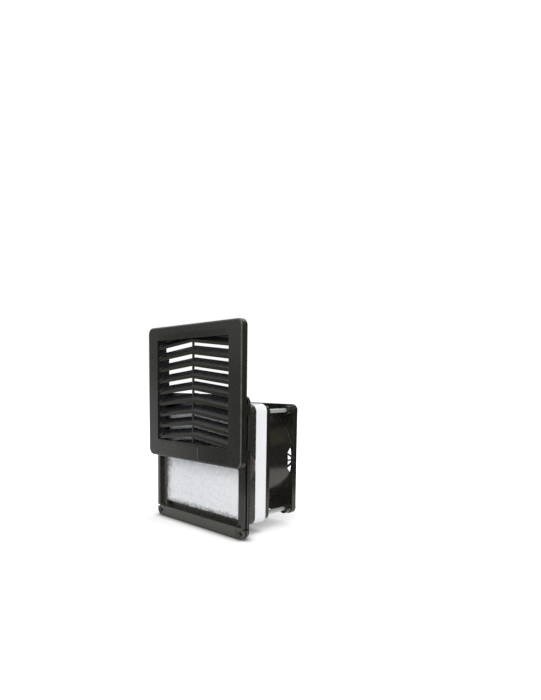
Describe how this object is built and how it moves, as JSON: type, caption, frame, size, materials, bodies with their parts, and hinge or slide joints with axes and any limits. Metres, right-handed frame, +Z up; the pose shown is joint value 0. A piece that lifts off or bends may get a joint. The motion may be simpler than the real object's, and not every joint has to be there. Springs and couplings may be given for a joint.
{
  "type": "cabinet filter fan",
  "caption": "Square cabinet filter fan: louvred cover sliding on a clip-in wall frame over a fleece mat, with a spacer frame and an axial fan behind the panel.",
  "frame": {"origin": "centre of the gasket's rear face, where it seats on the cabinet panel, on the fan's axis", "axes": "+Z up, -Y to the front of the louvred cover, +X to the right seen from the front"},
  "size_m": [0.116, 0.0791, 0.1655],
  "materials": {
    "cover_plastic": "satin moulded charcoal black",
    "frame_plastic": "satin moulded black",
    "clip_plastic": "glossy moulded black",
    "gasket_foam": "closed-cell foam",
    "filter_fleece": "loose white fleece",
    "spacer_plastic": "satin white",
    "fan_paint": "glossy black paint",
    "cap_metal": "satin",
    "impeller_plastic": "semi-gloss black",
    "rotor_steel": "drawn",
    "lamination_steel": "stacked laminations",
    "bright_steel": "ground",
    "winding_copper": "enamelled wire",
    "terminal_brass": "tinned",
    "zinc_steel": "bright zinc"
  },
  "bodies": {
    "wall_unit": {"base_frame": "frame_plastic", "panel_gasket": "gasket_foam", "filter_mat": "filter_fleece", "filter_grid": "frame_plastic", "spacer_frame": "spacer_plastic", "fan_frame": "fan_paint", "motor_bracket": "fan_paint", "motor_cap": "cap_metal", "bearing_outer_rings": "bright_steel", "bearing_balls": "bright_steel", "preload_washer": "bright_steel", "stator_core": "lamination_steel", "stator_coils": "winding_copper", "terminal_block": "frame_plastic", "terminal_blades": "terminal_brass", "fan_screws": "zinc_steel", "screw_washers": "zinc_steel"},
    "cover": {"front_grille": "cover_plastic"},
    "rotor": {"impeller": "impeller_plastic", "rotor_cup": "rotor_steel", "rotor_ring": "lamination_steel", "shaft": "bright_steel", "retaining_ring": "rotor_steel", "bearing_inner_rings": "bright_steel"},
    "clip_left": {"left_clip": "clip_plastic"},
    "clip_right": {"right_clip": "clip_plastic"}
  },
  "joints": [
    {"name": "cover_slide", "type": "slide", "parent": "wall_unit", "child": "cover", "axis": [0, 0, 1], "range_m": [-0.0555, 0.006]},
    {"name": "fan_spin", "type": "hinge", "parent": "wall_unit", "child": "rotor", "pos_m": [0, 0.0444, 0], "axis": [0, 1, 0], "continuous": true},
    {"name": "left_clip_hinge", "type": "hinge", "parent": "wall_unit", "child": "clip_left", "pos_m": [-0.0446, 0.0108, 0], "axis": [0, 0, 1], "range_deg": [0, 15], "stiffness_Nm_per_rad": 0.05},
    {"name": "right_clip_hinge", "type": "hinge", "parent": "wall_unit", "child": "clip_right", "pos_m": [0.0446, 0.0108, 0], "axis": [0, 0, -1], "range_deg": [0, 15], "stiffness_Nm_per_rad": 0.05}
  ]
}
